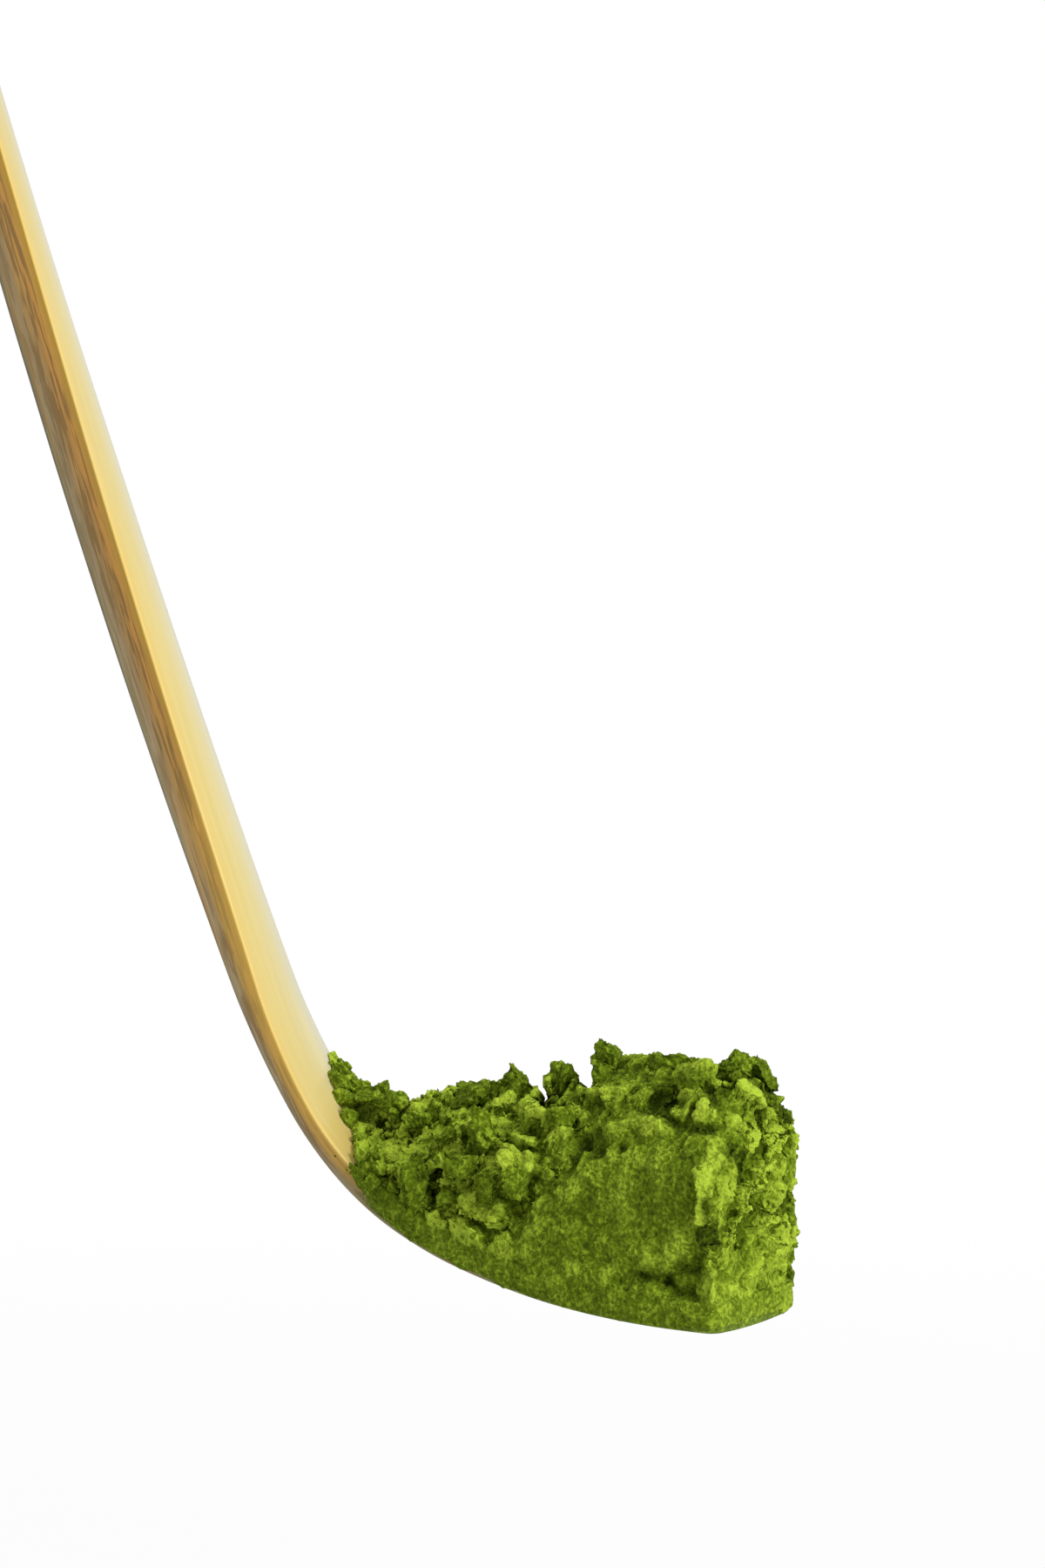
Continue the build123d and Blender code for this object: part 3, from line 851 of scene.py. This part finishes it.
def makeHeap():
    along, y, n = heapBlock()
    base = stripPlace(along, y, n)
    normal = gridNormals(base)
    base, relief = addStrokes(base, normal)
    # crumbly along the top and towards the bend, pressed smooth low on the near side and at the tip
    slant = (base - tip) @ np.array([cos(heap["slant"]), sin(heap["slant"]), 0])
    above = (base - tip)[..., 2] - np.interp(slant, *np.transpose(heap["smoothBelow"]))
    waver, *noise = heap["smoothWaver"]
    above = above + waver * softNoise(base, *noise)
    crumbly = smoothStep(-heap["smoothEdge"], heap["smoothEdge"], above)
    crumbly = crumbly * np.interp(slant, *np.transpose(heap["loose"]))
    crumbly = np.maximum(crumbly, heap["tornEnd"] * smoothStep(*heap["tornPlaces"], along))
    # the floor stays on the bowl, and the relief fades towards it and towards the bend
    isFloor = (np.arange(y.shape[1]) >= heap["roundPoints"])[None] & (along > heap["floorFrom"])
    fromSeat = np.where(isFloor, 0, smoothStep(*heap["seatFade"], n))
    keep = fromSeat * sum(part * smoothStep(heap["far"], full, along) for part, full in heap["farFades"])
    # the end is torn into slanting ridges: a noise drawn out along one direction of the end face
    endFace = smoothStep(*heap["ridgePlaces"], along) * smoothStep(*heap["ridgeHeights"], n)
    run = np.array([0, sin(heap["ridgeLean"]), cos(heap["ridgeLean"])])
    ridgeHigh, *ridges = heap["ridges"]
    smallHigh, *small = heap["small"]
    wideHigh, *wide = heap["wide"]
    drawnOut = base - heap["ridgeStretch"] * (base @ run)[..., None] * run
    swell = endFace * ridgeHigh * roughNoise(drawnOut, *ridges) + smallHigh * roughNoise(base, *small)
    relief = relief + keep * swell
    swell = swell + wideHigh * roughNoise(base, *wide)
    moved, tone = roughen(base + normal * (keep * swell)[..., None], crumbly, keep)
    # painted light where the strokes stand out and painted shade in their hollows, more so at the end
    share, more = heap["standingLightShade"]
    standing = relief - blurGrid(relief, heap["standingReach"])
    tone = np.clip(tone + (share + more * smoothStep(*heap["standingLightShadeEnd"], along)) * standing, 0, 1)
    least, more, *heights = heap["paintedLightUp"]
    lightPaintGain = least + more * smoothStep(*heights, (base - tip)[..., 2])
    # painted light on the crumbly part by the bend, stronger higher up
    lightPaint = heap["paintedLightLeft"] * lightPaintGain * smoothStep(*heap["paintedLightSlant"], slant)
    # and painted light on the end at the tip, in place of more lamp light
    tone = np.clip(tone + lightPaint + heap["paintedLightEnd"] * smoothStep(*heap["paintedLightEndPlaces"], along), 0, 1)
    flat, faces = closedGrid(moved)
    hold = ~isFloor * smoothStep(*heap["hollows"], relief)
    return flat, faces, withEnds(tone), moved, gridNormals(moved), crumbly, hold


powder = powderMaterial()


def powderPiece(name, body, points, faces, tone):
    # the relief attribute carries painted light on raised parts and painted shade in hollows
    return makeMesh(name, points, faces, powder, body, {"relief": tone})


points, faces, tone, heapBase, heapNormal, heapCrumbly, heapHold = makeHeap()
heapPiece = powderPiece("packed_powder", "powder", points, faces, tone)
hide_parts("powder_heap")


# The film of powder that clings to the walls of the bowl

film = {
    "thickness": 0.17,
    "from": 31.0,  # both its ends, from the tip, and the place from which it is full
    "full": 25.0,
    "step": 0.14,
    "cornerPoints": 14,
    "outerPoints": 26,
    # by the place from the tip: how far its top stands above the face, and how much stays bare over the back
    "top": ((0, 0.45), (27.6, 0.45), (29.2, 0.10), (30.3, -0.25), (31, -0.30)),
    "bare": ((0, 0.30), (23, 0.34), (24.5, 0.45), (27, 0.85), (29, 1.05), (31, 1.05)),
    "bareWaver": (0.14, 0.9, 81),  # how far a noise bends that edge, then its size and seed
    "roundness": 0.35,
    # it breaks into patches where a sum of the fade at its ends and a noise is low
    "patches": (1.3, 85),  # size and seed of the noise
    "patchNoise": 0.4,  # its strength in the sum
    "patchFade": (2.2, -0.9),  # the fade's strength in the sum, and where the sum starts
    "patchEdge": (-0.6, 0.4),  # sums at which the film is missing and whole
    "inside": 0.3,  # how deep its inner half lies in the wall
    "fadeDepth": 0.15,  # how deep it sinks at its ends
    "crumbly": 0.12,
}


def makeFilm():
    # a closed ribbon carried along the bowl's edge: near side, round the tip, far side; its inner half lies
    # in the wall, and its outer one stands out by thickness * sin(way across)^roundness
    corner = strip["tipCorner"]
    bend = corner * (1 - np.sin(np.linspace(0, pi / 2, film["cornerPoints"])))
    s = np.concatenate([np.arange(film["from"], corner, -film["step"]), bend])
    half, thick, dish, rise = stripSizes(np.maximum(s, 1e-4))
    end = np.linspace(-1, 1, int(2 * half[-1] / film["step"]))[1:-1] * half[-1]
    s = np.concatenate([s, 0 * end, s[::-1]])
    y = np.concatenate([-half, end, half[::-1]])
    thick = np.concatenate([thick, 0 * end + thick[-1], thick[::-1]])
    outS, outY = np.gradient(y), -np.gradient(s)
    size = np.hypot(outS, outY)
    outS, outY = -outS / size, -outY / size
    line = np.stack([s, y, 0 * s], -1)
    outer = np.linspace(0, 1, film["outerPoints"])
    waver, *noise = film["bareWaver"]
    low = np.interp(s, *np.transpose(film["bare"])) + waver * roughNoise(line, *noise) - thick
    s, y, low, outS, outY = (value[:, None] for value in (s, y, low, outS, outY))
    top = np.interp(s, *np.transpose(film["top"]))
    n = top + (low - top) * outer
    fade = smoothStep(film["from"], film["full"], s)
    patchy = roughNoise(stripPlace(s, y, n), *film["patches"])
    rise, start = film["patchFade"]
    lift = film["thickness"] * np.sin(pi * np.clip(outer * 1.02, 0, 1)) ** film["roundness"]
    lift = lift * smoothStep(*film["patchEdge"], rise * fade + start + film["patchNoise"] * patchy)
    lift = lift - film["fadeDepth"] * (1 - fade) - 0.01
    inner = outer[::-1][1:-1] + 0 * s
    n = np.concatenate([n, top + (low - top) * inner], 1)
    lift = np.concatenate([lift, 0 * inner - film["inside"]], 1)
    isOuter = np.arange(n.shape[1]) < len(outer)
    moved, tone = roughen(stripPlace(s + outS * lift, y + outY * lift, n), film["crumbly"] + 0 * n,
                          isOuter + 0 * n)
    flat, faces = closedGrid(moved)
    # the film's tip end gets the same painted light as the heap's end
    return flat, faces, withEnds(tone + heap["paintedLightEnd"] * smoothStep(1.0, 0.0, s))


powderPiece("clinging_powder", "scoop", *makeFilm())


# Clods on the heap

clods = {
    # from the tip: along (towards +X), across, up; half sizes along, across, up
    "placed": ((-33.4, 2.5, 11.8, 0.45, 0.4, 0.6), (-29.4, 2.0, 10.6, 0.55, 0.5, 0.75),
               (-31.2, 2.2, 10.8, 0.9, 0.7, 0.7), (-29.5, 1.5, 10.2, 1.4, 0.9, 0.7),
               (-27.8, 0.9, 9.9, 1.2, 0.9, 0.7), (-25.1, -0.1, 9.5, 0.9, 0.9, 0.8),
               (-20.9, -2.7, 9.1, 0.5, 0.6, 0.9), (-18.0, -3.2, 9.2, 1.2, 1.0, 1.5),
               (-26.6, -3.6, 6.4, 1.0, 0.7, 1.1), (-22.8, -4.3, 6.1, 0.85, 0.7, 1.7),
               (-18.7, -4.5, 7.3, 1.0, 0.7, 0.7), (-16.4, -4.9, 6.2, 0.7, 0.6, 1.1),
               (-14.3, -4.9, 7.0, 0.8, 0.8, 1.3), (-18.1, 0.9, 11.6, 0.8, 1.1, 1.2),
               (-21.6, 1.4, 11.0, 1.5, 1.3, 1.0), (-19.4, 1.2, 11.1, 1.2, 1.1, 1.0),
               (-14.4, 0.9, 12.2, 0.80, 1.0, 1.2), (-13.0, -2.4, 10.5, 1.0, 0.9, 0.9),
               (-11.4, 0.9, 14.3, 0.75, 0.8, 0.95), (-10.9, -0.2, 12.8, 0.6, 0.6, 1.2),
               (-9.7, 1.4, 12.6, 0.8, 0.8, 0.8), (-6.9, 1.6, 13.7, 1.5, 1.2, 0.9),
               (-4.0, -0.6, 13.3, 1.0, 0.9, 0.8), (-1.45, 3.8, 13.4, 0.95, 0.95, 1.1),
               (-2.6, 2.5, 13.9, 0.9, 0.9, 0.8), (-0.7, 4.2, 10.0, 0.5, 0.6, 0.9),
               (-15.0, -2.2, 10.2, 0.9, 0.8, 0.7)),
    "placedGrid": (44, 64),  # rows and points round each
    "planes": 8,  # random planes that cut each lump, how far from its middle they lie, and a box's
    "planeReach": (0.62, 1.1),
    "boxReach": 1.15,
    "sharpness": 14.0,
    # a lump's base tone, and how much its height adds painted light to raised points and painted shade to
    # cracks
    "tone": 0.55,
    "toneRelief": 0.6,
}
loose = {
    # seeds: of the spots, of the lumps
    "powder_clods_small": {"count": 45, "size": (0.30, 0.75), "stretch": (0.75, 1.25), "out": (0.1, 0.1),
                           "grid": (20, 28), "levels": ("grains",), "seeds": (11, 7)},
    "powder_crumbs": {"count": 1100, "size": (0.06, 0.18), "stretch": (0.7, 1.3), "out": (-0.10, 0.06),
                      "grid": (4, 7), "levels": (), "seeds": (13, 9)},
}


def lumpCloud(centres, radii, grid, seed, levels):
    # each lump is a ball cut by random planes and a box: 1 / radius is the p-norm of their pulls, and a pull
    # is a way's share along the plane's own direction / its reach; then it is turned, stretched and roughened
    draw = np.random.default_rng(seed)
    count = len(centres)
    rows, columns = grid
    polar = np.linspace(0, pi, rows + 2)[1:-1, None]
    turn = np.linspace(0, 2 * pi, columns, endpoint=False)
    way = (np.sin(polar) * np.cos(turn), np.sin(polar) * np.sin(turn), np.cos(polar) + 0 * turn)
    way = np.stack(way, -1)
    planes = draw.normal(size=(count, clods["planes"], 3))
    planes /= np.linalg.norm(planes, axis=-1, keepdims=True)
    planes /= draw.uniform(*clods["planeReach"], size=(count, clods["planes"], 1))
    box = np.broadcast_to(np.concatenate([np.eye(3), -np.eye(3)]) / clods["boxReach"], (count, 6, 3))
    pull = np.maximum(np.einsum("ckd,ijd->cijk", np.concatenate([planes, box], 1), way), 0)
    radius = (pull ** clods["sharpness"]).sum(-1) ** (-1 / clods["sharpness"])
    spin = np.linalg.qr(draw.normal(size=(count, 3, 3)))[0]
    spin *= np.sign(np.linalg.det(spin))[:, None, None]
    shape = np.einsum("cab,cijb->cija", spin, radius[..., None] * way)
    body = centres[:, None, None] + shape * radii[:, None, None]
    tone = np.full(radius.shape, clods["tone"])
    size = np.minimum(radii.mean(-1), 1)[:, None, None]
    # painted light on a lump's raised points and painted shade in its cracks
    for level in levels:
        body, height = crumble(body, crumbs[level], size + 0 * radius)
        tone = tone + clods["toneRelief"] * height
    points, tones = (np.concatenate([value.reshape(count, rows * columns, -1),
                                     value[:, [0, -1]].reshape(count, 2, columns, -1).mean(2)], 1)
                     for value in (body, tone))
    faces = closedGrid(body[0])[1]
    offset = (np.arange(count) * (rows * columns + 2))[:, None, None]
    return points.reshape(-1, 3), (faces[None] + offset).reshape(-1, 4), np.clip(tones, 0, 1).ravel()


def looseLumps(settings, wanted):
    # random spots on the top of the heap, taken where the wanted weight is high
    spotSeed, lumpSeed = settings["seeds"]
    count = settings["count"]
    draw = np.random.default_rng(spotSeed)
    weight = wanted * heapHold
    weight[:6] = 0  # none at the thin far end
    pick = draw.choice(weight.size, size=count, p=weight.ravel() / weight.sum(), replace=False)
    size = draw.uniform(*settings["size"], size=(count, 1))
    size = size * draw.uniform(*settings["stretch"], size=(count, 3))
    out = draw.uniform(*settings["out"], size=(count, 1))
    spots = heapBase.reshape(-1, 3)[pick] + heapNormal.reshape(-1, 3)[pick] * out
    return lumpCloud(spots, size, settings["grid"], lumpSeed, settings["levels"])


placed = np.array(clods["placed"])
placed = lumpCloud(placed[:, :3] + tip, placed[:, 3:], clods["placedGrid"], 5, ("lumps", "grains"))
placedPiece = powderPiece("powder_clods_large", "powder", *placed)
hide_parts("powder_clods")
for name, wanted in (("powder_clods_small", heapCrumbly**2), ("powder_crumbs", 0.25 + heapCrumbly)):
    powderPiece(name, "powder", *looseLumps(loose[name], wanted))


# Floor, light and camera

stage = {
    "floorDrop": 60.0,  # below the tip
    "floorSize": 4.0,
    "worldLight": 0.36,
    "whiteNear": 0.10,  # the paper fades to plain white between these distances
    "whiteFar": 0.45,
}


def seenDirectly(tree):
    # 1 for what the camera sees, straight, in a mirror or through glass, 0 for the light that falls on things
    path = newNode(tree, "ShaderNodeLightPath")
    seen = path.outputs["Is Camera Ray"]
    for key in ("Is Glossy Ray", "Is Transmission Ray"):
        seen = mathNode(tree, "MAXIMUM", seen, path.outputs[key])
    return seen


def makeStage():
    floorZ = (tip[2] - stage["floorDrop"]) * mm
    half = stage["floorSize"] / 2
    corners = [(x * half, y * half, floorZ) for x, y in ((-1, -1), (1, -1), (1, 1), (-1, 1))]
    mesh = bpy.data.meshes.new("floor")
    mesh.from_pydata(corners, [], [(0, 1, 2, 3)])
    floor = bpy.data.objects.new("floor", mesh)
    bpy.context.scene.collection.objects.link(floor)
    material, tree, shader = newMaterial("floorPaper")
    feed(tree, shader, {"Base Color": (0.9, 0.9, 0.9, 1), "Roughness": 0.9})
    glow = newNode(tree, "ShaderNodeEmission")
    mix = newNode(tree, "ShaderNodeMixShader")
    place = newNode(tree, "ShaderNodeTexCoord")
    far = newNode(tree, "ShaderNodeVectorMath", operation="LENGTH")
    feed(tree, far, {0: place.outputs["Object"]})
    white = mapRange(tree, far.outputs["Value"], stage["whiteNear"], stage["whiteFar"], 0.9, 1.0)
    seen = mathNode(tree, "MULTIPLY", seenDirectly(tree), white)
    feed(tree, mix, {0: seen, 1: shader.outputs["BSDF"], 2: glow.outputs["Emission"]})
    feed(tree, tree.nodes["Material Output"], {"Surface": mix.outputs["Shader"]})
    mesh.materials.append(material)

    world = bpy.data.worlds.new("studio")
    world.use_nodes = True
    tree = world.node_tree
    tree.nodes.clear()
    strength = mapRange(tree, seenDirectly(tree), 0, 1, stage["worldLight"], 1.0, smooth=False)
    back = newNode(tree, "ShaderNodeBackground")
    feed(tree, back, {"Color": (1, 1, 1, 1), "Strength": strength})
    feed(tree, newNode(tree, "ShaderNodeOutputWorld"), {"Surface": back.outputs["Background"]})
    bpy.context.scene.world = world


def addLamp(name, place, aim, size, power):
    # an area lamp at a place from the tip, in millimetres, turned to its aim
    lamp = bpy.data.lights.new(name, "AREA")
    lamp.shape = "DISK"
    lamp.size = size * mm
    lamp.energy = power
    thing = bpy.data.objects.new(name, lamp)
    place, aim = Vector(tip * mm) + Vector(place) * mm, Vector(tip * mm) + Vector(aim) * mm
    thing.location = place
    thing.rotation_euler = (aim - place).to_track_quat("-Z", "Y").to_euler()
    bpy.context.scene.collection.objects.link(thing)


lamps = {
    # place and aim from the tip, size, power
    "keyLamp": ((380, -80, 190), (-25, 0, 15), 160, 1.45),
    "topLamp": ((-20, -60, 420), (-25, 0, 20), 240, 0.60),
    "fillLamp": ((-120, -390, 120), (-25, 0, 30), 320, 0.12),
}

view = {
    "azimuth": 33.0,
    "elevation": 2.1,
    "distance": 225.0,
    "lens": 80.6,
    "aim": (-17.1, 0.0, 31.6),  # from the tip
}


def makeCamera():
    a, e = radians(view["azimuth"]), radians(view["elevation"])
    back = Vector((sin(a) * cos(e), -cos(a) * cos(e), sin(e)))
    right = Vector((cos(a), sin(a), 0))
    up = back.cross(right)
    data = bpy.data.cameras.new("camera")
    data.lens = view["lens"]
    data.clip_start = 0.01
    camera = bpy.data.objects.new("camera", data)
    turn = Matrix((right, up, back)).transposed()
    camera.rotation_euler = turn.to_euler()
    camera.location = (Vector(tip) + Vector(view["aim"]) + back * view["distance"]) * mm
    bpy.context.scene.collection.objects.link(camera)
    bpy.context.scene.camera = camera


makeStage()
for name, (place, aim, size, power) in lamps.items():
    addLamp(name, place, aim, size, power)
makeCamera()
bpy.context.scene.view_settings.view_transform = "Standard"
print("stage, lamps and camera made")
